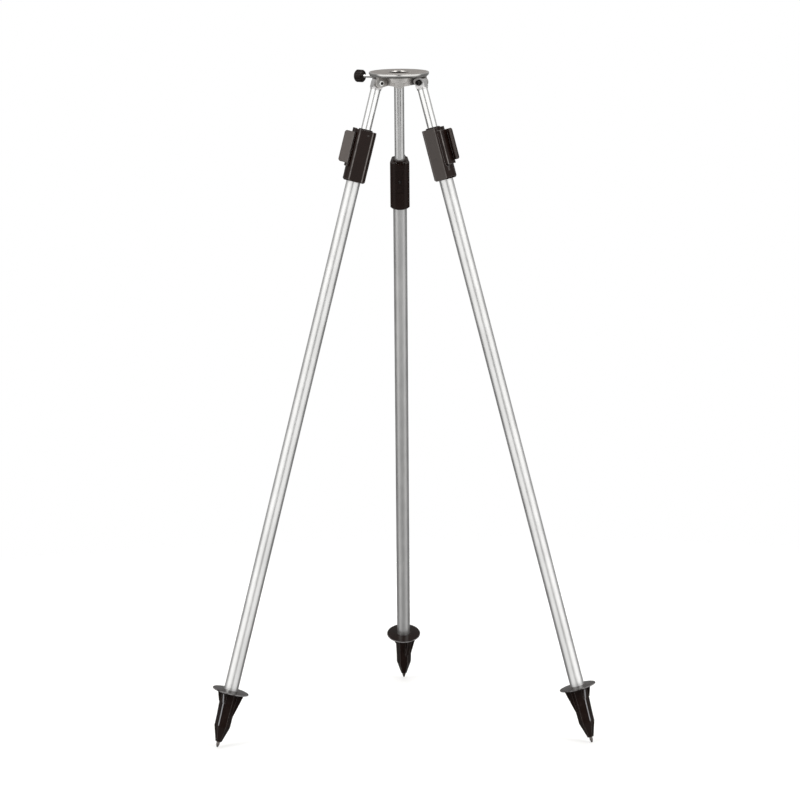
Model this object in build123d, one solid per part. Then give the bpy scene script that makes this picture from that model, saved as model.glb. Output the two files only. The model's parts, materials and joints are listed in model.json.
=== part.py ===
from build123d import *
import os
from math import atan2, cos, degrees, radians, sin

# Surveyor tripod for a prism or ranging pole: a cast head with a side clamp screw, and three
# telescopic legs, each with a lever clamp and a step foot. Millimetres, +Z up, floor at Z = 0.
# The back leg is drawn out further than the front two, so the head leans towards -Y at rest.

# ---- stance ----
LEG_AZIMUTHS = {"left": 210.0, "right": 330.0, "back": 90.0}
LEG_LENGTHS = {"left": 1348.0, "right": 1345.0, "back": 1427.0}
CLAMP_TURNS = {"left": -12.0, "right": -9.5, "back": 0.0}
FOOT_TURNS = {"left": 0.0, "right": 0.0, "back": 60.0}
LEG_SPREAD = 16.4

# ---- head ----
PLATE_R = 59.0
PLATE_THICK = 8.0
PLATE_EDGE = 0.6
RIM_BAND = 2.4
UNDER_RIM_R = 54.5
RIM_BULGE = (57.8, -5.6)
BORE_R = 21.0
BORE_LIP = 2.0
SLEEVE_R = 36.0
HEAD_DEPTH = 26.7
ARCH_RISE = 3.2
ARCH_R = 150.0
RIB_WIDTH = 15.5
RIB_FLARE = 9.0
RIB_AZIMUTHS = (30.0, 150.0, 270.0)

# ---- leg hinge ----
PIVOT_R = 49.0
PIVOT_DROP = 18.5
LUG_R = 10.0
LUG_HALF = 7.0
EAR_NEAR = 7.2
EAR_FAR = 12.4
EAR_NECK = 6.5
BOLT_R = 3.0
RUNNING_GAP = 0.05
WASHER_R = 6.0
WASHER_THICK = 1.2
WASHER_GAP = 0.15
BOLT_HEAD_R = 5.0
BOLT_HEAD_LENGTH = 6.0
BOLT_SOCKET_FLATS = 5.0
BOLT_SOCKET_DEPTH = 3.0
NUT_FLATS = 10.0
NUT_THICK = 5.0
BOLT_END = 19.6
STOP_GAP = 0.1

# ---- pole clamp screw ----
SCREW_AZIMUTH = 150.0
SCREW_DROP = 12.0
SCREW_R = 3.0
SCREW_PITCH = 1.0
THREAD_DEPTH = 0.45
PAD_R = 4.5
PAD_START = 22.0
PAD_LENGTH = 6.0
PAD_SOCKET = 3.0
PAD_POCKET_END = 31.0
KNOB_START = 80.5
KNOB_THICK = 16.5
KNOB_R = 12.3
KNOB_LOBES = 8
KNOB_FLUTE_R = 3.2
KNOB_BEVEL = 2.2

# ---- tubes ----
UPPER_R = 10.0
UPPER_BORE_R = 8.7
LOWER_R = 14.0
LOWER_BORE_R = 12.6
COLLAR_R = 11.0
COLLAR_TOP = 11.0
COLLAR_BOTTOM = 14.0
SPIGOT_LENGTH = 36.0
UPPER_END = 774.0
PLUG_LENGTH = 24.0
PLUG_SPIGOT = 20.0

# ---- leg clamp, heights from the foot's tip ----
CLAMP_BOTTOM = 1150.0
CLAMP_TOP = 1252.0
CLAMP_R = 22.3
CLAMP_HALF_FLAT = 18.06
CLAMP_FLAT_SLOPE = 0.145
CLAMP_INNER_FLAT = 20.5
CLAMP_CORNER = 1.2
CLAMP_EDGE = 0.8
CLAMP_TAPER = 4.5
CLAMP_SOCKET_GAP = 0.05
TUBE_IN_CLAMP = 37.0
JAW_BOTTOM = 39.0
JAW_R = 13.9
JAW_RIM = 2.5
JAW_SLIT = 2.0
STRIP_DROP = 3.5
STRIP_HALF = 11.0
STRIP_EDGE = 12.5
LEVER_PIN_R = 1.5
BARREL_RADIUS = 21.0
BARREL_ANGLE = -20.25
BARREL_R = 4.4
BARREL_GROOVE_R = 5.1
LEVER_TOP_DROP = 7.2
LEVER_LENGTH = 62.0
BARREL_LENGTH = 68.0
GROOVE_LENGTH = 71.0
CAM_R = 2.6
CAM_REACH = 3.6
CAM_LENGTH = 30.0
CAM_WINDOW_R = 6.6
LEVER_OPENING = 90.0
BAND_INNER = ((22.9, -20.25), (23.1, 2.25), (24.0, 24.75))
BAND_OUTER = ((25.4, -20.25), (26.6, 2.25), (27.9, 24.75))
TAB_TIP = (42.9, 5.6)
TAB_THICK = 3.0
TAB_CORNER = 5.0
TAB_EDGE = 1.0
JAW_SCREW_DROP = 40.0
PIN_X = -2.0
PIN_DROP = 9.0
PIN_SUNK = 1.0
PIN_R = 1.3

# ---- foot, heights from its tip ----
FLANGE_Z = 115.5
FLANGE_R = 36.4
FLANGE_THICK = 2.6
FLANGE_DROOP = 1.6
HEX_TOP_R = 18.5
HEX_WAIST_R = 16.2
HEX_WAIST_Z = 65.0
HEX_EDGE_R = 15.8
HEX_EDGE_Z = 42.5
HEX_POINT_R = 6.2
HEX_POINT_Z = 11.5
SOCKET_BOTTOM = 84.0
TIP_R = 3.3
TIP_BALL_R = 2.0
TIP_NECK_Z = 5.5
TIP_SHANK = 20.0


def tube(outer, inner, bottom, top):
    """A straight tube about Z."""
    ring = Cylinder(outer, top - bottom) - Cylinder(inner, top - bottom)
    return Pos(0, 0, (top + bottom) / 2) * ring


def rod(radius, bottom, top):
    """A round bar about Z."""
    return Pos(0, 0, (top + bottom) / 2) * Cylinder(radius, top - bottom)


def prism(points, depth, plane):
    """A flat outline pushed along its plane's normal by depth."""
    return extrude(plane * make_face(Polyline(*points, close=True)), depth)


def hexagon(circumradius, z):
    """A level hexagon with corners at 30, 90, 150 degrees and so on."""
    return Pos(0, 0, z) * Rot(0, 0, 30) * RegularPolygon(circumradius, 6)


# ---- head ----

def head_casting():
    """Top plate, pole sleeve, ribs and hinge ears, about Z with its top at Z = 0."""
    outer = BORE_R + BORE_LIP
    side = BORE_LIP * sin(radians(45))
    outline = Polyline((outer, 0), (PLATE_R - PLATE_EDGE, 0), (PLATE_R, -PLATE_EDGE), (PLATE_R, -RIM_BAND))
    outline += ThreePointArc((PLATE_R, -RIM_BAND), RIM_BULGE, (UNDER_RIM_R, -PLATE_THICK))
    outline += Polyline((UNDER_RIM_R, -PLATE_THICK), (SLEEVE_R, -PLATE_THICK), (SLEEVE_R, -HEAD_DEPTH),
                        (BORE_R, -HEAD_DEPTH), (BORE_R, -BORE_LIP))
    outline += ThreePointArc((BORE_R, -BORE_LIP), (outer - side, side - BORE_LIP), (outer, 0))
    body = revolve(Plane.XZ * make_face(outline), Axis.Z)
    arch = Pos(SLEEVE_R, 0, ARCH_RISE - HEAD_DEPTH - ARCH_R) * Rot(0, 90, 0) * Cylinder(ARCH_R, SLEEVE_R)
    for azimuth in LEG_AZIMUTHS.values():
        body -= Rot(0, 0, azimuth) * arch
    for azimuth in RIB_AZIMUTHS:
        body += Rot(0, 0, azimuth) * rib()
    for azimuth in LEG_AZIMUTHS.values():
        body += Rot(0, 0, azimuth) * ear()
    body -= rod(BORE_R, -2 * HEAD_DEPTH, 0)
    return body - Rot(0, 0, SCREW_AZIMUTH) * screw_hole()


def rib():
    """A rib along +X that flares out under the plate."""
    half = RIB_WIDTH / 2
    top = RIB_FLARE + half
    outline = make_face(
        Polyline((half, -PLATE_THICK - RIB_FLARE), (half, -HEAD_DEPTH), (-half, -HEAD_DEPTH),
                 (-half, -PLATE_THICK - RIB_FLARE))
        + RadiusArc((-half, -PLATE_THICK - RIB_FLARE), (-top, -PLATE_THICK), RIB_FLARE)
        + Polyline((-top, -PLATE_THICK), (-top, -PLATE_THICK + 1), (top, -PLATE_THICK + 1),
                   (top, -PLATE_THICK))
        + RadiusArc((top, -PLATE_THICK), (half, -PLATE_THICK - RIB_FLARE), RIB_FLARE)
    )
    start = (BORE_R + SLEEVE_R) / 2
    bar = extrude(Plane.YZ.offset(start) * outline, PLATE_R - start)
    return bar & rod(UNDER_RIM_R, -2 * HEAD_DEPTH, 0)


def ear():
    """The hinge ear of a leg on +X, on the counter-clockwise side of the lug."""
    start = (BORE_R + SLEEVE_R) / 2
    web = prism(
        [(start, -PLATE_THICK + 1), (PIVOT_R + EAR_NECK, -PLATE_THICK + 1),
         (PIVOT_R + EAR_NECK, -PIVOT_DROP), (PIVOT_R, -PIVOT_DROP - LUG_R),
         (start, ARCH_RISE - HEAD_DEPTH)],
        EAR_FAR - EAR_NEAR, Plane.XZ.offset(-EAR_FAR),
    )
    thick = EAR_FAR - EAR_NEAR
    eye = Pos(PIVOT_R, (EAR_FAR + EAR_NEAR) / 2, -PIVOT_DROP) * Rot(90, 0, 0) * Cylinder(LUG_R, thick)
    hole = Pos(PIVOT_R, EAR_FAR, -PIVOT_DROP) * Rot(90, 0, 0) * Cylinder(BOLT_R, 2 * EAR_FAR)
    return web + eye - hole


def along_screw(part):
    """Lay a part made about Z along +X at the clamp screw's height."""
    return Pos(0, 0, -SCREW_DROP) * Rot(0, 90, 0) * part


def screw_hole():
    """Tapped hole with a pocket for the pressure pad at its inner end."""
    pocket = rod(PAD_R + RUNNING_GAP, 0, PAD_POCKET_END)
    return along_screw(pocket + rod(SCREW_R + RUNNING_GAP, 0, PLATE_R))


def pressure_pad():
    """Round pad with a socket for the screw's nose and a bevelled face."""
    pad = rod(PAD_R, PAD_START, PAD_START + PAD_LENGTH)
    pad = chamfer(pad.edges().sort_by(Axis.Z)[0], 0.8)
    nose = rod(SCREW_R - THREAD_DEPTH + RUNNING_GAP, PAD_START + PAD_SOCKET, PAD_START + PAD_LENGTH)
    return along_screw(pad - nose)


def clamp_screw():
    """Screw with a plain nose in the pad, thread ridges, and a plain end in the knob."""
    core = rod(SCREW_R - THREAD_DEPTH, PAD_START + PAD_SOCKET + 0.1, PAD_START + PAD_LENGTH + 1)
    start = PAD_START + PAD_LENGTH + 0.5
    step = SCREW_PITCH / 2
    turns = int((KNOB_START - 1.5 - start) / SCREW_PITCH)
    points = [(0, start)]
    for turn in range(turns):
        low = start + turn * SCREW_PITCH
        points += [(SCREW_R - THREAD_DEPTH, low), (SCREW_R, low + step)]
    shoulder = start + turns * SCREW_PITCH
    points += [(SCREW_R - THREAD_DEPTH, shoulder), (SCREW_R, shoulder + step)]
    points += [(SCREW_R, KNOB_START + KNOB_THICK - 2), (0, KNOB_START + KNOB_THICK - 2)]
    thread = revolve(Plane.XZ * make_face(Polyline(*points, close=True)), Axis.Z)
    return along_screw(core + thread)


def knob():
    """Lobed knob with bevelled faces and a blind hole for the screw."""
    body = rod(KNOB_R, KNOB_START, KNOB_START + KNOB_THICK)
    body = chamfer(body.edges().filter_by(GeomType.CIRCLE), KNOB_BEVEL)
    for lobe in range(KNOB_LOBES):
        angle = 360 * (lobe + 0.5) / KNOB_LOBES
        reach = KNOB_R + 0.66 * KNOB_FLUTE_R
        body -= Rot(0, 0, angle) * Pos(reach, 0, 0) * rod(KNOB_FLUTE_R, KNOB_START - 1, KNOB_START + KNOB_THICK + 1)
    body -= rod(SCREW_R, KNOB_START - 1, KNOB_START + KNOB_THICK - 2)
    return along_screw(body)


# ---- hinge hardware, about Y through the pivot ----

def along_hinge(part):
    """Turn a part made about Z so that it lies along +Y."""
    return Rot(-90, 0, 0) * part


def hinge_bolt():
    """Socket cap screw: head on the clockwise side, end past the nut."""
    seat = -LUG_HALF - WASHER_GAP - WASHER_THICK
    head = rod(BOLT_HEAD_R, seat - BOLT_HEAD_LENGTH, seat)
    head = fillet(head.edges().sort_by(Axis.Z)[0], 0.6)
    socket = extrude(
        Pos(0, 0, seat - BOLT_HEAD_LENGTH) * RegularPolygon(BOLT_SOCKET_FLATS / 2, 6, major_radius=False),
        BOLT_SOCKET_DEPTH,
    )
    shank = rod(BOLT_R, seat, BOLT_END)
    shank = chamfer(shank.edges().sort_by(Axis.Z)[-1], 0.6)
    return along_hinge(head - socket + shank)


def head_washer():
    """Washer between the bolt's head and the lug."""
    seat = -LUG_HALF - WASHER_GAP
    return along_hinge(tube(WASHER_R, BOLT_R, seat - WASHER_THICK, seat))


def nut_washer():
    """Washer between the ear and the nut."""
    return along_hinge(tube(WASHER_R, BOLT_R, EAR_FAR, EAR_FAR + WASHER_THICK))


def hinge_nut():
    """Hexagon nut with its corners turned off."""
    seat = EAR_FAR + WASHER_THICK
    body = extrude(Pos(0, 0, seat) * RegularPolygon(NUT_FLATS / 2, 6, major_radius=False), NUT_THICK)
    corner_r = NUT_FLATS / 2 / cos(radians(30))
    turned = rod(corner_r, seat, seat + NUT_THICK)
    turned = chamfer(turned.edges().sort_by(Axis.Z)[-1], 0.8)
    return along_hinge((body & turned) - rod(BOLT_R, seat, seat + NUT_THICK))


# ---- upper leg, origin at the pivot, +Z up along the leg, +X outwards ----

def leg_lug():
    """Tongue with a stop heel, collar, and the spigot inside the upper tube."""
    eye = Rot(90, 0, 0) * Cylinder(LUG_R, 2 * LUG_HALF)
    neck = Pos(0, 0, -COLLAR_TOP / 2) * Box(2 * LUG_R, 2 * LUG_HALF, COLLAR_TOP)
    reach = PIVOT_R - SLEEVE_R - STOP_GAP
    heel = prism(
        [(-reach, 0), (-reach, 5), (-6, 8.4), (0, 0), (-8, -6)],
        2 * LUG_HALF, Plane.XZ.offset(-LUG_HALF),
    )
    heel = Rot(0, LEG_SPREAD, 0) * heel
    collar = rod(COLLAR_R, -COLLAR_BOTTOM, -COLLAR_TOP)
    collar = fillet(collar.edges().filter_by(GeomType.CIRCLE), 0.6)
    spigot = rod(UPPER_BORE_R - RUNNING_GAP, -COLLAR_BOTTOM - SPIGOT_LENGTH, -COLLAR_BOTTOM)
    hole = Rot(90, 0, 0) * Cylinder(BOLT_R + RUNNING_GAP, 4 * LUG_HALF)
    return eye + neck + heel + collar + spigot - hole


def upper_tube():
    """Inner tube from the lug's collar down to the guide plug."""
    return tube(UPPER_R, UPPER_BORE_R, -UPPER_END, -COLLAR_BOTTOM)


def guide_plug():
    """Plug that centres the upper tube in the lower one and stops it in the clamp."""
    flange = rod(LOWER_BORE_R - RUNNING_GAP, -UPPER_END - PLUG_LENGTH, -UPPER_END)
    for level in (0.3, 0.7):
        z = -UPPER_END - level * PLUG_LENGTH
        flange -= tube(LOWER_BORE_R + 1, LOWER_BORE_R - 1, z - 1.5, z + 1.5)
    return flange + rod(UPPER_BORE_R - RUNNING_GAP, -UPPER_END, -UPPER_END + PLUG_SPIGOT)


# ---- lower leg, origin at the foot's tip, +Z up along the leg, +X outwards ----

BARREL = (BARREL_RADIUS * cos(radians(BARREL_ANGLE)), BARREL_RADIUS * sin(radians(BARREL_ANGLE)))


def clamp_body():
    """Round clamp body with three flats, a groove for the lever and a cam window."""
    outer = flat_half(CLAMP_R)
    inner = flat_half(-CLAMP_INNER_FLAT)
    plan = make_face(Polyline(
        (CLAMP_R, outer), (-CLAMP_INNER_FLAT, inner), (-CLAMP_INNER_FLAT, -inner), (CLAMP_R, -outer),
        close=True,
    ))
    plan = fillet((plan & Circle(CLAMP_R)).vertices(), CLAMP_CORNER)
    body = extrude(Pos(0, 0, CLAMP_BOTTOM) * plan, CLAMP_TOP - CLAMP_BOTTOM)
    body = fillet(body.edges().group_by(Axis.Z)[-1], CLAMP_EDGE)
    taper = rod(CLAMP_R + CLAMP_TAPER / 3, CLAMP_BOTTOM, CLAMP_TOP + CLAMP_TAPER)
    body &= chamfer(taper.edges().filter_by(GeomType.CIRCLE).sort_by(Axis.Z)[0], CLAMP_TAPER)
    body = fillet(body.edges().group_by(Axis.Z)[0], CLAMP_EDGE)
    strip = Box(2 * CLAMP_R, 2 * STRIP_HALF, 2 * STRIP_DROP)
    body -= Pos(-STRIP_EDGE - CLAMP_R, 0, CLAMP_TOP) * strip
    body -= jaw_screw_recess()
    body -= pin_place() * rod(PIN_R, -PIN_SUNK - 2, PIN_SUNK)
    body += Pos(*BARREL, 0) * rod(BARREL_R, CLAMP_TOP - LEVER_TOP_DROP + 0.3, CLAMP_TOP + 1.2)
    body -= lever_groove()
    body -= rod(LOWER_R + CLAMP_SOCKET_GAP, CLAMP_BOTTOM - 1, CLAMP_TOP + 1)
    return body


def flat_half(x):
    """Half width between the clamp's two side flats, which close in outwards."""
    return CLAMP_HALF_FLAT - CLAMP_FLAT_SLOPE * x


def pin_place():
    """Frame on a side flat for the spring pin, +Z out of the flat."""
    return Pos(PIN_X, flat_half(PIN_X), CLAMP_TOP - PIN_DROP) * Rot(-90, 0, 0)


def jaw_screw_recess():
    """Shallow waisted panel on the clamp's inner flat, with the jaw screw's hole."""
    waist = make_face(Polyline(
        (8, 24.5), (3.5, 4), (3.5, -4), (8, -24.5), (-8, -24.5), (-3.5, -4), (-3.5, 4), (-8, 24.5),
        close=True,
    ))
    panel = extrude(Plane.YZ * waist, 1.0)
    hole = Rot(0, 90, 0) * Cylinder(1.5, 20)
    return Pos(-CLAMP_INNER_FLAT, 0, CLAMP_TOP - JAW_SCREW_DROP) * (panel + hole)


def lever_groove():
    """Groove for the lever's barrel, window for its cam, and the pin's hole."""
    top = CLAMP_TOP - LEVER_TOP_DROP + 0.3
    groove = rod(BARREL_GROOVE_R, top - GROOVE_LENGTH + BARREL_GROOVE_R, top)
    groove += Pos(0, 0, top - GROOVE_LENGTH + BARREL_GROOVE_R) * Sphere(BARREL_GROOVE_R)
    groove += rod(LEVER_PIN_R, top - GROOVE_LENGTH - 8, CLAMP_TOP + 0.7)
    inwards = BARREL_ANGLE + 180
    last = inwards - LEVER_OPENING
    arc = [(CAM_WINDOW_R * cos(radians(a)), CAM_WINDOW_R * sin(radians(a)))
           for a in (inwards + 35, inwards, inwards - 35, inwards - 70, last, last - 30)]
    wedge = make_face(Polyline((0, 0), *arc, close=True))
    wedge = Pos(0, 0, cam_middle() - CAM_LENGTH / 2 - 0.5) * wedge
    return Pos(*BARREL, 0) * (groove + extrude(wedge, CAM_LENGTH + 1))


def cam_middle():
    """Height of the cam's middle."""
    return CLAMP_TOP - LEVER_TOP_DROP - LEVER_LENGTH / 2


def clamp_jaw():
    """Split sleeve that the cam squeezes on to the upper tube."""
    bottom = CLAMP_BOTTOM + JAW_BOTTOM
    jaw = rod(JAW_R, bottom, CLAMP_TOP + JAW_RIM)
    jaw = fillet(jaw.edges().filter_by(GeomType.CIRCLE).sort_by(Axis.Z)[-1], 1.0)
    jaw -= rod(UPPER_R + RUNNING_GAP, bottom - 1, CLAMP_TOP + JAW_RIM + 1)
    slit = Pos(JAW_R, 0, bottom) * Box(2 * JAW_R, JAW_SLIT, 2 * (CLAMP_TOP - bottom - 8))
    return jaw - Rot(0, 0, 90) * slit


def lever():
    """Barrel with a cam, a band that wraps the body, and a shorter finger tab."""
    top = CLAMP_TOP - LEVER_TOP_DROP
    bottom = top - BARREL_LENGTH
    barrel = rod(BARREL_R, bottom, top)
    barrel = fillet(barrel.edges().filter_by(GeomType.CIRCLE).sort_by(Axis.Z)[0], 3.0)
    inwards = radians(BARREL_ANGLE + 180)
    cam = Pos(CAM_REACH * cos(inwards), CAM_REACH * sin(inwards), cam_middle()) * Cylinder(CAM_R, CAM_LENGTH)
    barrel = Pos(*BARREL, 0) * (barrel + cam)
    inner = [in_plan(*point) for point in BAND_INNER]
    outer = [in_plan(*point) for point in BAND_OUTER]
    outline = ThreePointArc(*inner) + Line(inner[2], outer[2])
    outline += ThreePointArc(*outer) + Line(outer[0], inner[0])
    band = extrude(Pos(0, 0, bottom) * make_face(outline), BARREL_LENGTH)
    arm = barrel + band + lever_tab(outer[2], top - LEVER_LENGTH)
    return arm - Pos(*BARREL, 0) * rod(LEVER_PIN_R + RUNNING_GAP, bottom - 1, top + 1)


def in_plan(radius, angle):
    """A point of the clamp's plan from its radius and angle about the leg."""
    return radius * cos(radians(angle)), radius * sin(radians(angle))


def lever_tab(root, bottom):
    """Flat finger tab from the band's end out to the lever's tip."""
    run = Vector(TAB_TIP[0] - root[0], TAB_TIP[1] - root[1], 0)
    plate = Box(run.length, TAB_THICK, LEVER_LENGTH, align=(Align.MIN, Align.MAX, Align.MIN))
    plate = fillet(plate.edges().filter_by(Axis.Y).sort_by(Axis.X)[-2:], TAB_CORNER)
    faces = plate.faces().filter_by(Axis.Y)
    rims = [edge for face in faces for edge in face.edges() if edge.center().X > TAB_EDGE]
    plate = fillet(rims, TAB_EDGE)
    turn = degrees(atan2(run.Y, run.X))
    return Pos(root[0], root[1], bottom) * Rot(0, 0, turn) * plate


def lever_pin():
    """Steel pin that the lever turns on."""
    top = CLAMP_TOP - LEVER_TOP_DROP + 0.3
    return Pos(*BARREL, 0) * rod(LEVER_PIN_R, top - GROOVE_LENGTH - 8, CLAMP_TOP + 0.7)


def jaw_screw():
    """Pan-head screw in the waisted panel."""
    head = Cylinder(2.6, 1.6)
    head = fillet(head.edges().filter_by(GeomType.CIRCLE).sort_by(Axis.Z)[0], 0.7)
    shank = Pos(0, 0, 2.8) * Cylinder(1.5, 4)
    slot = Pos(0, 0, -0.8) * Box(6, 0.7, 0.9)
    screw = Rot(0, 90, 0) * (head + shank - slot)
    return Pos(1.0 - CLAMP_INNER_FLAT - 0.8, 0, CLAMP_TOP - JAW_SCREW_DROP) * screw


def clamp_pin():
    """Spring pin sunk in the clamp's flat."""
    return pin_place() * tube(PIN_R, PIN_R / 2, -PIN_SUNK - 2, -PIN_SUNK)


def lower_tube():
    """Outer tube from the foot's socket up into the clamp."""
    return tube(LOWER_R, LOWER_BORE_R, SOCKET_BOTTOM, CLAMP_BOTTOM + TUBE_IN_CLAMP)


def foot():
    """Step flange over a tapered hexagonal spike body with gussets."""
    body = loft([hexagon(HEX_WAIST_R, HEX_WAIST_Z), hexagon(HEX_TOP_R, FLANGE_Z)])
    body += loft([hexagon(HEX_EDGE_R, HEX_EDGE_Z), hexagon(HEX_WAIST_R, HEX_WAIST_Z)])
    body += loft([hexagon(HEX_POINT_R, HEX_POINT_Z), hexagon(HEX_EDGE_R, HEX_EDGE_Z)])
    for angle in (150, 210):
        body += Rot(0, 0, angle) * gusset([(27.5, -4), (22.8, -23), (16, -50), (8, -50)], 9)
    for angle in (-30, 30):
        body += Rot(0, 0, angle) * gusset([(25, -3), (18.4, -23), (8, -30)], 7)
    body += flange()
    body -= rod(LOWER_R, SOCKET_BOTTOM, FLANGE_Z + 10)
    return body - rod(TIP_R, HEX_POINT_Z - 1, HEX_POINT_Z + TIP_SHANK)


def gusset(points, thick):
    """Upright fin along +X; points are radius and height below the flange."""
    outline = [(8, 0), (points[0][0], 0)] + points
    fin = prism([(r, FLANGE_Z + z) for r, z in outline], thick, Plane.XZ.offset(-thick / 2))
    return fin


def flange():
    """Round step plate that droops a little towards its rim."""
    half = FLANGE_THICK / 2
    inner = FLANGE_Z + FLANGE_DROOP
    profile = Plane.XZ * make_face(Polyline(
        (0, inner - half - 2), (FLANGE_R - half, FLANGE_Z - half))
        + RadiusArc((FLANGE_R - half, FLANGE_Z - half), (FLANGE_R - half, FLANGE_Z + half), -half)
        + Polyline((FLANGE_R - half, FLANGE_Z + half), (16, inner + half), (0, inner + half),
                   (0, inner - half - 2)))
    return revolve(profile, Axis.Z)


def foot_tip():
    """Steel spike that narrows to a small round end."""
    top = HEX_POINT_Z + TIP_SHANK
    side = TIP_BALL_R * sin(radians(45))
    end = ThreePointArc((0, 0), (side, TIP_BALL_R - side), (TIP_BALL_R, TIP_BALL_R))
    rest = Polyline((TIP_BALL_R, TIP_BALL_R), (TIP_R, TIP_NECK_Z), (TIP_R, top), (0, top), (0, 0))
    return revolve(Plane.XZ * make_face(end + rest), Axis.Z)


# ---- assembly ----

def hinge_frame(name):
    """Leg frame of a named leg seen from the head's frame, origin at its pivot."""
    pivot = Pos(PIVOT_R, 0, -PIVOT_DROP)
    return Rot(0, 0, LEG_AZIMUTHS[name]) * pivot * Rot(0, -LEG_SPREAD, 0)


def head_place():
    """Head frame, origin on the pole's axis at the top face, over a floor through the tips."""
    left, right, back = [
        (hinge_frame(name) * Pos(0, 0, -length)).position for name, length in LEG_LENGTHS.items()
    ]
    up = (right - left).cross(back - left).normalized()
    sideways = Vector(1, 0, 0) - up * up.X
    return Plane(origin=left, x_dir=sideways, z_dir=up).location.inverse()


def pivot_place(name):
    """Leg frame of a named leg, origin at its pivot."""
    return head_place() * hinge_frame(name)


def tip_place(name):
    """Leg frame of a named leg, origin at its foot's tip."""
    return pivot_place(name) * Pos(0, 0, -LEG_LENGTHS[name])


def clamp_place(name):
    """Leg frame of a named leg at its tip, turned to the way its clamp faces."""
    return tip_place(name) * Rot(0, 0, CLAMP_TURNS[name])


def tripod():
    """All pieces by node name, standing on the floor."""
    head = head_place()
    screw = head * Rot(0, 0, SCREW_AZIMUTH)
    pieces = {
        "head_casting": head * head_casting(),
        "pressure_pad": screw * pressure_pad(),
        "clamp_screw": screw * clamp_screw(),
        "clamp_knob": screw * knob(),
    }
    hinge = {"hinge_bolt": hinge_bolt(), "bolt_washer": head_washer(), "nut_washer": nut_washer(),
             "hinge_nut": hinge_nut()}
    upper = {"leg_lug": leg_lug(), "upper_tube": upper_tube(), "guide_plug": guide_plug()}
    clamp = {"clamp_body": clamp_body(), "clamp_jaw": clamp_jaw(), "clamp_lever": lever(),
             "lever_pin": lever_pin(), "jaw_screw": jaw_screw(), "clamp_pin": clamp_pin()}
    lower = {"lower_tube": lower_tube(), "foot": foot(), "foot_tip": foot_tip()}
    for name, azimuth in LEG_AZIMUTHS.items():
        bolt_place = head * Rot(0, 0, azimuth) * Pos(PIVOT_R, 0, -PIVOT_DROP)
        for label, piece in hinge.items():
            pieces[f"{label}_{name}"] = bolt_place * piece
        for label, piece in upper.items():
            pieces[f"{label}_{name}"] = pivot_place(name) * piece
        for label, piece in clamp.items():
            pieces[f"{label}_{name}"] = clamp_place(name) * piece
        for label, piece in lower.items():
            turn = Rot(0, 0, FOOT_TURNS[name]) if label == "foot" else Rot(0, 0, 0)
            pieces[f"{label}_{name}"] = tip_place(name) * turn * piece
    return pieces


def centred(pieces):
    """Move everything so that the box's middle is over the origin and its base at Z = 0."""
    box = Compound(children=[copy_of(piece) for piece in pieces.values()]).bounding_box()
    shift = Pos(-(box.min.X + box.max.X) / 2, -(box.min.Y + box.max.Y) / 2, -box.min.Z)
    return shift, {name: shift * piece for name, piece in pieces.items()}


def copy_of(piece):
    """A separate copy, so that the original keeps no parent."""
    return Pos(0, 0, 0) * piece


def main():
    """Write one STEP file for each node."""
    os.makedirs("parts", exist_ok=True)
    shift, pieces = centred(tripod())
    for name, piece in pieces.items():
        export_step(piece, f"parts/{name}.step")
    print("nodes", len(pieces), "shift", shift.position)


if __name__ == "__main__":
    main()
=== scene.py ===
import json
import math
import bpy
from mathutils import Matrix, Vector

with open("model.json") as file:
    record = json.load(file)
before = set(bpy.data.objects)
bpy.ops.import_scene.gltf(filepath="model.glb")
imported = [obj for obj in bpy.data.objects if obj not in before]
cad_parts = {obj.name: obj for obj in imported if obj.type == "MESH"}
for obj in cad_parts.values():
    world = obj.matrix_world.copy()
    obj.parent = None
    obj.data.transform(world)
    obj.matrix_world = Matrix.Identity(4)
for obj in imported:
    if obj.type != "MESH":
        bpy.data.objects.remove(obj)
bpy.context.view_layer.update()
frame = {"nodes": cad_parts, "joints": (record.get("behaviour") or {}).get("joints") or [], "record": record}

MM = 0.001
DEGREES_PER_RADIAN = 57.29578
LEGS = ("left", "right", "back")

# how far each clamp and each foot is turned about its leg, in degrees
CLAMP_TURNS = {"left": -12.0, "right": -9.5, "back": 0.0}
FOOT_TURNS = {"left": 0.0, "right": 0.0, "back": 60.0}

# sizes of the CAD pieces that the materials follow, in millimetres, and directions of two fins in degrees
BORE_LIP = 2.0
FLANGE_SHEEN_R = 35.2
FIN_ANGLES = (-30.0, 30.0)

# camera: place in the head's frame in metres, downward pitch and roll in degrees, lens in millimetres
CAMERA_PLACE = (-0.0035, -5.5, 0.5615)
CAMERA_PITCH = 12.5
CAMERA_ROLL = -0.5
CAMERA_LENS = 126.315
SENSOR_WIDTH = 36.0

# floor: radius of the disc, and where it starts and ends fading out, in metres
FLOOR_RADIUS = 2.6
FLOOR_FADE = (0.9, 2.5)

# studio seen in mirrors: two soft bands with a dark gap between them, a dim rear and two key patches
# angles are in degrees, azimuth counts from the camera's side, levels are strengths
BAND_RISE = (-64.0, -8.0)
BAND_LEVELS = (0.10, 1.20)
BAND_END = (78.0, 100.0)
GAP_EDGE = (4.0, 13.0)
GAP_RISE = (-42.0, -20.0)
GAP_DEPTH = 0.85
GAP_WIDENING_RISE = (-5.0, 1.0)
GAP_WIDENING = (1.0, 1.6)
REAR_RISE = (-15.0, 22.0)
REAR_LEVELS = (0.18, 0.50)
KEY_NEAR_SIDE = (26.0, 38.0)
KEY_FAR_SIDE = (60.0, 72.0)
KEY_BOTTOM = (30.0, 40.0)
KEY_TOP = (58.0, 70.0)
KEY_LEVEL = 5.0
DIFFUSE_LEVEL = 0.88
STUDIO_TINT = (1.0, 0.995, 0.98, 1.0)

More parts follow.
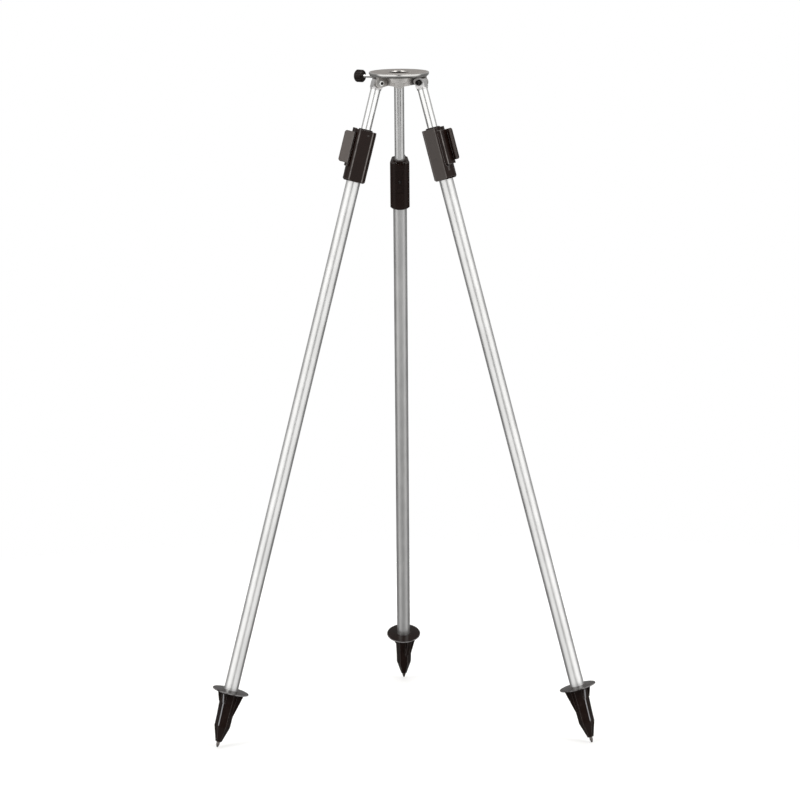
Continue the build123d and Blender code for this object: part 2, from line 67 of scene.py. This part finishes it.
# colours
WHITE = (1.0, 1.0, 1.0, 1.0)
# painted edge highlight colour, partly standing for worn edges
WORN_SHEEN_PLASTIC = (0.15, 0.138, 0.132)
# painted highlight colour for the flange rims
RIM_SHEEN_PLASTIC = (0.16, 0.155, 0.155)
# painted highlight colour for the foot's fin crests
PAINTED_CREST_GLINT = (0.21, 0.21, 0.22)
TAB_GREY = (0.084, 0.073, 0.068)
PANEL_GREY = (0.046, 0.039, 0.036)
CLAMP_BLACK = (0.0068, 0.0026, 0.0017)
LEVER_BLACK = (0.0068, 0.0028, 0.0019)
KNOB_BLACK = (0.0048, 0.0019, 0.0012)
FOOT_BLACK = (0.0055, 0.0021, 0.0013)
STEEL_BLACK = (0.004, 0.003, 0.0028)
PLUG_WHITE = (0.70, 0.69, 0.65)
CAST_TONES = ((0.48, 0.465, 0.45), (0.56, 0.545, 0.53))
FACE_TONES = ((0.385, 0.35, 0.325), (0.47, 0.435, 0.41))
# painted shade colour, laid into the casting's hollows
CAST_HOLLOW_SHADE = (0.20, 0.175, 0.16)
MACHINED_RIM = (0.80, 0.79, 0.775)
MACHINED_BORE = (0.46, 0.445, 0.43)

# painted highlights along upright edges, in the clamp's frame: X and Y in millimetres, reach, strength
BODY_CORNERS = (
    (15.6, 15.6, 1.7, 0.75),
    (-10.4, 19.4, 1.7, 0.9),
    (15.6, -15.6, 1.4, 0.35),
    (-10.4, -19.4, 1.4, 0.5),
)
LEVER_CORNERS = ((23.8, -8.8, 1.5, 0.9), (25.3, 11.7, 1.4, 0.6))

# directions in the clamp's frame: out of and along the lever's tab, out of the clamp's flat, and inwards
TAB_OUT = (0.327, 0.945, 0.0)
TAB_ALONG = (0.945, -0.327, 0.0)
PANEL_OUT = (0.145, -1.0, 0.0)
INWARDS = (-1.0, 0.0, 0.0)
UP = (0.0, 0.0, 1.0)

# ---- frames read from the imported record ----

joints = {joint["name"]: joint for joint in frame["joints"]}


def axes_matrix(origin, x, y, z):
    """Matrix whose columns are the given axes, placed at origin."""
    matrix = Matrix((x, y, z)).transposed().to_4x4()
    matrix.translation = origin
    return matrix


def turned(matrix, degrees):
    """The given frame turned about its own Z."""
    return matrix @ Matrix.Rotation(math.radians(degrees), 4, "Z")


def head_frame():
    """Head frame on the pole's axis at the top face: +X to the right, +Y to the back, +Z up."""
    bore = next(mount for mount in frame["record"]["mounts"] if mount["name"] == "pole_bore")
    up = Vector(bore["axis"]).normalized()
    right = Vector(joints["hinge_back"]["axis"]).normalized()
    origin = Vector(bore["pos_m"]) + up * BORE_LIP * MM
    return axes_matrix(origin, right, up.cross(right).normalized(), up)


def leg_frame(name):
    """Leg frame at the hinge: +X outwards, +Y counter-clockwise, +Z up along the leg."""
    down = Vector(joints[f"extend_{name}"]["axis"]).normalized()
    side = -Vector(joints[f"hinge_{name}"]["axis"]).normalized()
    origin = Vector(joints[f"hinge_{name}"]["pos_m"])
    return axes_matrix(origin, side.cross(-down).normalized(), side, -down)


def foot_frame(name):
    """Leg frame moved down to the foot's tip on the floor, turned as the foot is."""
    leg = LEG[name]
    length = leg.translation.z / leg.to_3x3().col[2].z
    return turned(leg @ Matrix.Translation((0.0, 0.0, -length)), FOOT_TURNS[name])


HEAD = head_frame()
LEG = {name: leg_frame(name) for name in LEGS}
CLAMP = {name: turned(LEG[name], CLAMP_TURNS[name]) for name in LEGS}
FOOT = {name: foot_frame(name) for name in LEGS}

# ---- node trees ----


class Nodes:
    """Short way to add and link nodes of one tree."""

    def __init__(self, tree):
        self.tree = tree

    def add(self, kind, **settings):
        node = self.tree.nodes.new("ShaderNode" + kind)
        for key, value in settings.items():
            setattr(node, key, value)
        return node

    def link(self, source, target):
        self.tree.links.new(source, target)

    def feed(self, socket, value):
        """Give a socket a plain number, a colour or another node's output."""
        if isinstance(value, tuple):
            socket.default_value = (*value, 1.0)
        elif isinstance(value, (int, float)):
            socket.default_value = value
        else:
            self.link(value, socket)

    def math(self, operation, *values):
        node = self.add("Math", operation=operation)
        for socket, value in zip(node.inputs, values):
            self.feed(socket, value)
        return node.outputs[0]

    def range(self, value, source, target, smooth=True):
        """Value taken from one range to another, and held at its ends."""
        node = self.add("MapRange", interpolation_type="SMOOTHSTEP" if smooth else "LINEAR")
        node.inputs["From Min"].default_value, node.inputs["From Max"].default_value = source
        node.inputs["To Min"].default_value, node.inputs["To Max"].default_value = target
        self.link(value, node.inputs["Value"])
        return node.outputs[0]

    def rise(self, value, low, high):
        """Mask that goes from 0 at low to 1 at high."""
        return self.range(value, (low, high), (0.0, 1.0))

    def fall(self, value, low, high):
        """Mask that goes from 1 at low to 0 at high."""
        return self.range(value, (low, high), (1.0, 0.0))


class Surface(Nodes):
    """One material's nodes around its Principled shader."""

    def __init__(self, name):
        self.material = bpy.data.materials.new(name)
        self.material.use_nodes = True
        super().__init__(self.material.node_tree)
        self.shader = self.tree.nodes["Principled BSDF"]

    def set(self, **values):
        for key, value in values.items():
            self.shader.inputs[key.replace("_", " ")].default_value = value

    def coords(self, matrix, scale=(1, 1, 1)):
        """Object coordinates in the given frame, in millimetres, times scale."""
        source = self.add("TexCoord").outputs["Object"]
        mapping = self.add("Mapping", vector_type="TEXTURE")
        mapping.inputs["Location"].default_value = matrix.translation
        mapping.inputs["Rotation"].default_value = matrix.to_euler()
        mapping.inputs["Scale"].default_value = [MM / s for s in scale]
        self.link(source, mapping.inputs["Vector"])
        return mapping.outputs[0]

    def noise(self, vector, scale, detail=2.0, rough=0.5):
        node = self.add("TexNoise")
        node.inputs["Scale"].default_value = scale
        node.inputs["Detail"].default_value = detail
        node.inputs["Roughness"].default_value = rough
        self.link(vector, node.inputs["Vector"])
        return node.outputs[0]

    def vector(self, operation, first, second=None):
        """Vector arithmetic; second is a fixed direction, point or factor."""
        node = self.add("VectorMath", operation=operation)
        self.link(first, node.inputs[0])
        if second is not None:
            node.inputs[1].default_value = second
        return node.outputs["Value" if operation in ("LENGTH", "DISTANCE", "DOT_PRODUCT") else "Vector"]

    def flattened(self, place):
        """Coordinates with Z dropped."""
        return self.vector("MULTIPLY", place, (1.0, 1.0, 0.0))

    def slab(self, place, normal, low, high):
        """Mask that rises from 0 to 1 as the distance along a direction goes from low to high."""
        return self.rise(self.vector("DOT_PRODUCT", place, normal), low, high)

    def upright_line(self, place, x, y, reach):
        """Mask that is 1 on the upright line through X, Y and fades to 0 at the given reach."""
        away = self.vector("DISTANCE", self.flattened(place), (x, y, 0.0))
        return self.fall(away, 0.45 * reach, reach)

    def mix(self, factor, first, second):
        """Mix of two colours."""
        node = self.add("Mix", data_type="RGBA")
        for index, value in ((0, factor), (6, first), (7, second)):
            self.feed(node.inputs[index], value)
        return node.outputs[2]

    def blend(self, factor, first, second):
        """Mix of two plain numbers."""
        node = self.add("Mix", data_type="FLOAT")
        for index, value in ((0, factor), (2, first), (3, second)):
            self.feed(node.inputs[index], value)
        return node.outputs[0]

    def colour(self, source):
        self.link(source, self.shader.inputs["Base Color"])

    def roughness(self, source):
        self.link(source, self.shader.inputs["Roughness"])

    def bump(self, height, distance):
        """Bump of the given depth in millimetres, on top of any earlier one."""
        node = self.add("Bump")
        node.inputs["Strength"].default_value = 1.0
        node.inputs["Distance"].default_value = distance * MM
        self.link(height, node.inputs["Height"])
        normal = self.shader.inputs["Normal"]
        if normal.is_linked:
            self.link(normal.links[0].from_socket, node.inputs["Normal"])
        self.link(node.outputs[0], normal)


# ---- camera and studio ----


def make_camera():
    """Camera in front of the head and a little above it."""
    pitch = math.radians(CAMERA_PITCH)
    roll = math.radians(CAMERA_ROLL)
    head_right, head_back, head_up = HEAD.to_3x3().col
    forward = head_back * math.cos(pitch) - head_up * math.sin(pitch)
    up = head_up * math.cos(pitch) + head_back * math.sin(pitch)
    rolled_right = head_right * math.cos(roll) + up * math.sin(roll)
    rolled_up = up * math.cos(roll) - head_right * math.sin(roll)
    data = bpy.data.cameras.new("camera")
    data.sensor_width = SENSOR_WIDTH
    data.lens = CAMERA_LENS
    data.clip_start = 0.1
    data.clip_end = 200.0
    camera = bpy.data.objects.new("camera", data)
    camera.matrix_world = axes_matrix(HEAD @ Vector(CAMERA_PLACE), rolled_right, rolled_up, -forward)
    bpy.context.collection.objects.link(camera)
    bpy.context.scene.camera = camera


def area_light(name, azimuth, distance, height, size, power, aim=0.7):
    """Softbox aimed at the height aim; azimuth 0 is at the camera's side, 90 to the right."""
    angle = math.radians(azimuth)
    place = Vector((math.sin(angle) * distance, -math.cos(angle) * distance, height))
    data = bpy.data.lights.new(name, "AREA")
    data.shape = "RECTANGLE"
    data.size, data.size_y = size
    data.energy = power
    light = bpy.data.objects.new(name, data)
    light.location = place
    direction = Vector((0, 0, aim)) - place
    light.rotation_euler = direction.to_track_quat("-Z", "Y").to_euler()
    light.visible_glossy = False
    bpy.context.collection.objects.link(light)


def studio_strength(n):
    """Strength of the mirror studio by direction."""
    split = n.add("SeparateXYZ")
    n.link(n.add("TexCoord").outputs["Generated"], split.inputs[0])
    forward = n.math("MULTIPLY", split.outputs["Y"], -1.0)
    side = n.math("ABSOLUTE", n.math("ARCTAN2", split.outputs["X"], forward))
    azimuth = n.math("MULTIPLY", side, DEGREES_PER_RADIAN)
    elevation = n.math("MULTIPLY", n.math("ARCSINE", split.outputs["Z"]), DEGREES_PER_RADIAN)

    bands = n.range(elevation, BAND_RISE, BAND_LEVELS, smooth=False)
    narrowed = n.math("DIVIDE", azimuth, n.range(elevation, GAP_WIDENING_RISE, GAP_WIDENING))
    gap = n.math("MULTIPLY", n.fall(narrowed, *GAP_EDGE), n.rise(elevation, *GAP_RISE))
    front = n.math("MULTIPLY", bands, n.math("SUBTRACT", 1.0, n.math("MULTIPLY", gap, GAP_DEPTH)))
    rear = n.range(elevation, REAR_RISE, REAR_LEVELS)
    open_side = n.fall(azimuth, *BAND_END)
    front_part = n.math("MULTIPLY", front, open_side)
    rear_part = n.math("MULTIPLY", rear, n.math("SUBTRACT", 1.0, open_side))

    across = n.math("MULTIPLY", n.rise(azimuth, *KEY_NEAR_SIDE), n.fall(azimuth, *KEY_FAR_SIDE))
    height = n.math("MULTIPLY", n.rise(elevation, *KEY_BOTTOM), n.fall(elevation, *KEY_TOP))
    keys = n.math("MULTIPLY", n.math("MULTIPLY", across, height), KEY_LEVEL)
    return n.math("ADD", n.math("ADD", front_part, rear_part), keys)


def make_world():
    """White behind the object, even for diffuse light, and a studio of soft bands for mirrors."""
    world = bpy.data.worlds.new("studio")
    bpy.context.scene.world = world
    world.use_nodes = True
    world.node_tree.nodes.clear()
    n = Nodes(world.node_tree)

    def background(colour, strength):
        node = n.add("Background")
        node.inputs["Color"].default_value = colour
        n.feed(node.inputs["Strength"], strength)
        return node.outputs[0]

    def choose(is_ray, otherwise, chosen):
        node = n.add("MixShader")
        n.link(is_ray, node.inputs[0])
        n.link(otherwise, node.inputs[1])
        n.link(chosen, node.inputs[2])
        return node.outputs[0]

    mirror = background(STUDIO_TINT, studio_strength(n))
    diffuse = background(STUDIO_TINT, DIFFUSE_LEVEL)
    seen = background(WHITE, 1.0)
    ray = n.add("LightPath").outputs
    lighting = choose(ray["Is Diffuse Ray"], mirror, diffuse)
    output = n.add("OutputWorld")
    n.link(choose(ray["Is Camera Ray"], lighting, seen), output.inputs["Surface"])


def make_floor():
    """Pale round floor that fades out at its edge."""
    bpy.ops.mesh.primitive_circle_add(vertices=96, radius=FLOOR_RADIUS, fill_type="NGON", location=(0, 0, 0))
    floor = bpy.context.object
    floor.name = "floor"
    s = Surface("floor")
    s.set(Base_Color=(0.86, 0.86, 0.86, 1), Roughness=0.9, Specular_IOR_Level=0.1)
    distance = s.vector("LENGTH", s.add("TexCoord").outputs["Object"])
    mix = s.add("MixShader")
    s.link(s.rise(distance, *FLOOR_FADE), mix.inputs[0])
    s.link(s.shader.outputs[0], mix.inputs[1])
    s.link(s.add("BsdfTransparent").outputs[0], mix.inputs[2])
    s.link(mix.outputs[0], s.tree.nodes["Material Output"].inputs["Surface"])
    floor.data.materials.append(s.material)
    floor.visible_glossy = False


make_camera()
make_world()
make_floor()
area_light("softbox_left", -53, 3.4, 1.1, (3.3, 3.0), 36)
area_light("softbox_right", 53, 3.4, 1.1, (3.3, 3.0), 36)
area_light("top_light", 180, 1.0, 3.4, (2.4, 2.0), 20, aim=1.0)
bpy.context.scene.view_settings.view_transform = "Standard"

# ---- metals ----


def drawn_tube(name, matrix, tone, rough):
    """Anodised drawn tube: fine lines along it, faint handling marks."""
    s = Surface(name)
    s.set(Metallic=1.0, Specular_IOR_Level=0.5)
    lines = s.noise(s.coords(matrix, (6.0, 6.0, 0.03)), 1.0, 3.0, 0.6)
    clouds = s.noise(s.coords(matrix, (1, 1, 0.4)), 0.045, 3.0, 0.55)
    cloudy = s.rise(clouds, 0.3, 0.7)
    s.colour(s.mix(cloudy, (tone * 0.92,) * 3, (tone * 1.04,) * 3))
    fine = s.range(lines, (0.25, 0.75), (rough, rough + 0.07))
    s.roughness(s.math("ADD", fine, s.range(clouds, (0.3, 0.7), (0.0, 0.04))))
    s.bump(lines, 0.012)
    return s.material


def machined_metal(name, matrix, tone, rough_low, rough_high):
    """Turned or machined bright metal with fine marks and slight tarnish."""
    s = Surface(name)
    s.set(Metallic=1.0)
    place = s.coords(matrix)
    marks = s.noise(place, 0.8, 4.0, 0.65)
    clouds = s.noise(place, 0.12, 3.0, 0.6)
    s.colour(s.mix(s.rise(clouds, 0.3, 0.7), tuple(c * 0.88 for c in tone), tone))
    s.roughness(s.range(marks, (0.25, 0.75), (rough_low, rough_high)))
    s.bump(marks, 0.01)
    return s.material


def cast_metal():
    """Head casting: turned top, machined rim and bore, blasted underside, painted shade in the hollows."""
    s = Surface("cast_aluminium")
    s.set(Metallic=1.0)
    place = s.coords(HEAD)
    split = s.add("SeparateXYZ")
    s.link(place, split.inputs[0])
    height = split.outputs["Z"]
    radius = s.vector("LENGTH", s.flattened(place))
    top = s.rise(height, -0.4, -0.1)
    bore = s.fall(radius, 21.3, 21.9)
    rim = s.math("MULTIPLY", s.rise(radius, 55.5, 57.0), s.rise(height, -7.5, -6.0))
    machined = s.math("MAXIMUM", bore, s.math("MULTIPLY", rim, 0.75))
    grain = s.noise(place, 1.9, 3.0, 0.6)
    cloudy = s.rise(s.noise(place, 0.07, 3.0, 0.6), 0.3, 0.7)
    # painted shade: ambient occlusion darkens the casting in its hollows and corners
    hollow = s.add("AmbientOcclusion", samples=8)
    hollow.inputs["Distance"].default_value = 22.0 * MM
    painted_hollow_shade = s.range(hollow.outputs["AO"], (0.35, 0.85), (0.55, 0.0))
    cast = s.mix(painted_hollow_shade, s.mix(cloudy, *CAST_TONES), CAST_HOLLOW_SHADE)
    body = s.mix(top, cast, s.mix(cloudy, *FACE_TONES))
    s.colour(s.mix(machined, body, s.mix(bore, MACHINED_RIM, MACHINED_BORE)))
    cast_rough = s.range(grain, (0.3, 0.7), (0.40, 0.50))
    smooth_rough = s.range(grain, (0.3, 0.7), (0.07, 0.11))
    s.roughness(s.blend(machined, cast_rough, smooth_rough))
    smooth = s.math("MAXIMUM", top, machined)
    s.bump(s.math("MULTIPLY", grain, s.math("SUBTRACT", 1.0, smooth)), 0.10)
    rings = s.add("TexWave", wave_type="RINGS", rings_direction="Z")
    rings.inputs["Scale"].default_value = 0.9
    rings.inputs["Distortion"].default_value = 0.2
    s.link(place, rings.inputs["Vector"])
    s.bump(s.math("MULTIPLY", rings.outputs["Fac"], top), 0.006)
    return s.material


# ---- plastics ----


def worn_sheen_edges(s, place, calm):
    """Mask of the sharp edges, for worn edges and a painted edge highlight, broken up by noise and left out
    on the unlit side.
    """
    worn_sheen_noise = s.noise(place, 0.5, 5.0, 0.65)
    rounded = s.add("Bevel", samples=6)
    rounded.inputs["Radius"].default_value = 1.5 * MM
    facing = s.add("VectorMath", operation="DOT_PRODUCT")
    s.link(rounded.outputs[0], facing.inputs[0])
    s.link(s.add("NewGeometry").outputs["Normal"], facing.inputs[1])
    edge = s.fall(facing.outputs["Value"], 0.90, 0.995)
    worn_sheen = s.math("MULTIPLY", edge, s.range(worn_sheen_noise, (0.25, 0.6), (0.35, 1.0)))
    if calm:
        worn_sheen = s.math("MULTIPLY", worn_sheen, s.slab(place, calm, 19.0, 17.5))
    return worn_sheen


def moulded_plastic(name, matrix, tone, rough_low, rough_high, bump=0.02, worn_edge_sheen=0.0, panel=None, corners=(),
                    rim=None, calm=None):
    """Injection moulded plastic: fine texture, flow clouds, worn edges with a painted edge highlight,
    painted highlights on upright edges and on a flange rim.

    panel is a function that gives the mask of a different face, with its tone and roughness.
    corners are upright rounded edges that get a painted highlight: X and Y in millimetres, reach, strength.
    rim is the radius beyond which a step flange gets a painted highlight, broken up by noise.
    calm is the direction of the side whose edges get no painted highlight and stay dark.
    """
    s = Surface(name)
    s.set(Specular_IOR_Level=0.18, IOR=1.49)
    place = s.coords(matrix)
    grain = s.noise(place, 2.4, 2.0, 0.5)
    clouds = s.noise(place, 0.06, 4.0, 0.6)
    lighter = tuple(c * 1.25 + 0.0006 for c in tone)
    base = s.mix(s.rise(clouds, 0.35, 0.7), tone, lighter)
    cloud_rough = s.range(clouds, (0.3, 0.7), (rough_low, rough_high))
    rough = s.math("ADD", cloud_rough, s.range(grain, (0.3, 0.7), (0.0, 0.05)))
    if panel:
        mask, panel_tone, panel_rough = panel(s, place)
        base = s.mix(mask, base, panel_tone)
        rough = s.blend(mask, rough, panel_rough)
    # worn edges with a painted edge highlight
    if worn_edge_sheen:
        base = s.mix(s.math("MULTIPLY", worn_sheen_edges(s, place, calm), worn_edge_sheen), base, WORN_SHEEN_PLASTIC)
    # painted highlights along upright rounded edges
    for x, y, reach, strength in corners:
        corner_sheen_noise = s.range(s.noise(place, 0.11, 3.0, 0.5), (0.3, 0.6), (0.55, 1.0))
        line = s.math("MULTIPLY", s.upright_line(place, x, y, reach), corner_sheen_noise)
        base = s.mix(s.math("MULTIPLY", line, strength), base, WORN_SHEEN_PLASTIC)
    # painted highlight on the flange's rim
    if rim:
        radius = s.vector("LENGTH", s.flattened(place))
        rim_sheen_noise = s.range(s.noise(place, 0.09, 4.0, 0.6), (0.35, 0.6), (0.1, 0.9))
        base = s.mix(s.math("MULTIPLY", s.rise(radius, rim, rim + 0.8), rim_sheen_noise), base, RIM_SHEEN_PLASTIC)
    s.colour(base)
    s.roughness(rough)
    s.bump(grain, bump)
    return s.material


def finger_pad(s, place):
    """Matt face of the lever's tab, and the outer half of its duller back."""
    face = s.slab(place, TAB_OUT, 18.7, 19.1)
    start = s.blend(face, s.slab(place, TAB_ALONG, 28.5, 30.5), s.slab(place, TAB_ALONG, 20.6, 21.2))
    reach = s.math("MULTIPLY", start, s.slab(place, TAB_ALONG, 38.4, 37.8))
    return s.math("MULTIPLY", s.blend(face, 0.7, 1.0), reach), TAB_GREY, 0.5


def side_panel(s, place):
    """Lighter grey, rougher flat on the side away from the lever's tab."""
    return s.slab(place, PANEL_OUT, 17.6, 17.9), PANEL_GREY, 0.42


def foot_crest_glints(s, place):
    """Painted highlight along the crests of the two fins beside the foot's outward side."""
    crests = 0.0
    for turn in FIN_ANGLES:
        angle = math.radians(turn)
        out = Vector((math.cos(angle), math.sin(angle), 0.0))
        across = s.vector("DOT_PRODUCT", place, (-out.y, out.x, 0.0))
        near = s.fall(s.math("ABSOLUTE", across), 0.7, 1.5)
        crests = s.math("MAXIMUM", crests, s.math("MULTIPLY", near, s.slab(place, out, 11.0, 13.0)))
    along = s.math("MULTIPLY", s.slab(place, UP, 44.0, 47.0), s.slab(place, UP, 112.0, 108.0))
    return s.math("MULTIPLY", crests, along), PAINTED_CREST_GLINT, 0.3


# ---- dressing the CAD nodes ----


def dress(name, material):
    """Give a CAD node its material in every slot."""
    node = frame["nodes"][name]
    if not node.data.materials:
        node.data.materials.append(material)
    for index in range(len(node.data.materials)):
        node.data.materials[index] = material


def leg_looks(name, black_steel):
    """Materials of one leg's nodes, by node name without the leg's name."""
    leg = LEG[name]
    clamp = CLAMP[name]
    plated = machined_metal(f"plated_{name}", leg, (0.80, 0.80, 0.79), 0.10, 0.18)
    body = moulded_plastic(
        f"clamp_plastic_{name}", clamp, CLAMP_BLACK, 0.20, 0.28, worn_edge_sheen=0.8, panel=side_panel,
        corners=BODY_CORNERS, calm=INWARDS)
    lever = moulded_plastic(
        f"lever_plastic_{name}", clamp, LEVER_BLACK, 0.24, 0.34, bump=0.025, worn_edge_sheen=0.8, panel=finger_pad,
        corners=LEVER_CORNERS)
    foot = moulded_plastic(
        f"foot_plastic_{name}", FOOT[name], FOOT_BLACK, 0.14, 0.24, bump=0.03, worn_edge_sheen=0.4, panel=foot_crest_glints,
        rim=FLANGE_SHEEN_R)
    return {
        "upper_tube": drawn_tube(f"upper_tube_{name}", leg, 0.93, 0.21),
        "lower_tube": drawn_tube(f"lower_tube_{name}", leg, 0.81, 0.30),
        "guide_plug": moulded_plastic(f"guide_plastic_{name}", leg, PLUG_WHITE, 0.40, 0.50),
        "leg_lug": machined_metal(f"lug_metal_{name}", leg, (0.72, 0.71, 0.71), 0.26, 0.36),
        "hinge_nut": plated,
        "nut_washer": plated,
        "hinge_bolt": black_steel,
        "bolt_washer": black_steel,
        "clamp_body": body,
        "clamp_jaw": body,
        "clamp_lever": lever,
        "lever_pin": black_steel,
        "jaw_screw": black_steel,
        "clamp_pin": black_steel,
        "foot": foot,
        "foot_tip": machined_metal(f"spike_{name}", leg, (0.20, 0.18, 0.17), 0.20, 0.32),
    }


dress("head_casting", cast_metal())
dress("clamp_screw", machined_metal("plated_steel_head", HEAD, (0.82, 0.82, 0.81), 0.10, 0.18))
dress("pressure_pad", machined_metal("brass", HEAD, (0.72, 0.55, 0.30), 0.25, 0.35))
dress("clamp_knob", moulded_plastic("knob_plastic", HEAD, KNOB_BLACK, 0.28, 0.38, bump=0.03, worn_edge_sheen=0.12))
steel = moulded_plastic("black_steel", HEAD, STEEL_BLACK, 0.22, 0.32, bump=0.01, worn_edge_sheen=0.35)
for leg_name in LEGS:
    for piece, material in leg_looks(leg_name, steel).items():
        dress(f"{piece}_{leg_name}", material)
